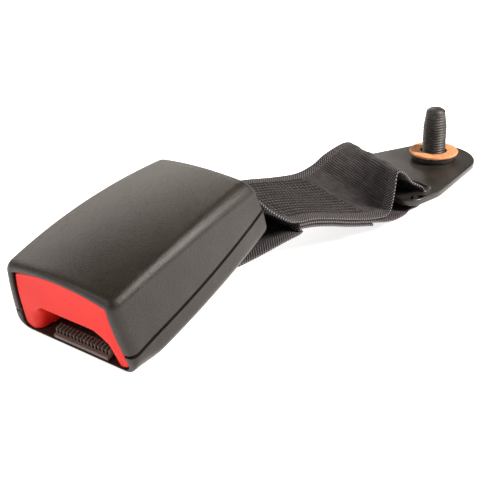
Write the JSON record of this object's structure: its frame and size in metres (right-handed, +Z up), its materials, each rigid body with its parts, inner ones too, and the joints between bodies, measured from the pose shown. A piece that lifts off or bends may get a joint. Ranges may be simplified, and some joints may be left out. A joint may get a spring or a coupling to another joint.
{
  "type": "seat belt buckle with webbing strap and anchor bolt",
  "caption": "Push-button seat belt buckle on a short stitched webbing strap, with a slotted steel anchor plate, its bolt and washers.",
  "frame": {"origin": "middle of the bottom of the bounding box, on the surface that the buckle's mouth and the bolt's head rest on", "axes": "+X from the buckle's mouth to the bolt, +Y to the left of the mouth, +Z up"},
  "size_m": [0.2424, 0.07, 0.0469],
  "materials": {
    "cover": "fine satin grain, warm black",
    "guide": "satin grey-black",
    "button": "satin red",
    "frame_steel": "bright zinc plated",
    "latch_steel": "ground steel",
    "spring_steel": "drawn wire",
    "ejector": "natural acetal",
    "webbing": "ribbed polyester weave, charcoal",
    "thread": "polyester thread, charcoal",
    "plate_steel": "semi-gloss black coating",
    "bolt_steel": "black phosphate",
    "fibre": "raw orange-tan fibre"
  },
  "bodies": {
    "housing": {"upper_cover": "cover", "lower_cover": "cover", "tongue_guide": "guide", "buckle_frame": "frame_steel", "latch_pin": "latch_steel", "latch_spring": "spring_steel", "ejector_spring": "spring_steel", "button_spring_left": "spring_steel", "button_spring_right": "spring_steel", "webbing": "webbing", "stitch_thread": "thread"},
    "button": {"press_button": "button", "lock_bar": "latch_steel"},
    "latch": {"latch_plate": "latch_steel"},
    "ejector": {"ejector": "ejector"},
    "anchor": {"anchor_plate": "plate_steel"},
    "bolt": {"anchor_bolt": "bolt_steel", "spacer_ring": "bolt_steel", "fibre_washer": "fibre", "wave_washer": "spring_steel"}
  },
  "joints": [
    {"name": "button_slide", "type": "slide", "parent": "housing", "child": "button", "axis": [0.9525, 0.0183, 0.304], "range_m": [0, 0.0055], "stiffness_N_per_m": 1800, "springref_m": -0.003, "deforming": ["button_spring_left", "button_spring_right"]},
    {"name": "ejector_slide", "type": "slide", "parent": "housing", "child": "ejector", "axis": [0.9525, 0.0183, 0.304], "range_m": [0, 0.011], "stiffness_N_per_m": 500, "springref_m": -0.004, "deforming": ["ejector_spring"]},
    {"name": "latch_pivot", "type": "hinge", "parent": "housing", "child": "latch", "pos_m": [-0.07219, 0.00555, 0.02784], "axis": [0.0192, -0.9998, 0], "range_deg": [0, 5.5]},
    {"name": "anchor_swing", "type": "hinge", "parent": "housing", "child": "anchor", "pos_m": [0.05947, -0.00469, 0.01063], "axis": [0.1857, 0.9826, 0], "range_deg": [0, 15]},
    {"name": "bolt_turn", "type": "hinge", "parent": "anchor", "child": "bolt", "pos_m": [0.10184, -0.0127, 0.01356], "axis": [-0.0326, 0.0062, 0.9995], "continuous": true}
  ],
  "couplings": [
    {"joint": "latch_pivot", "follows": "ejector_slide", "rad_per_m": 8.72}
  ]
}
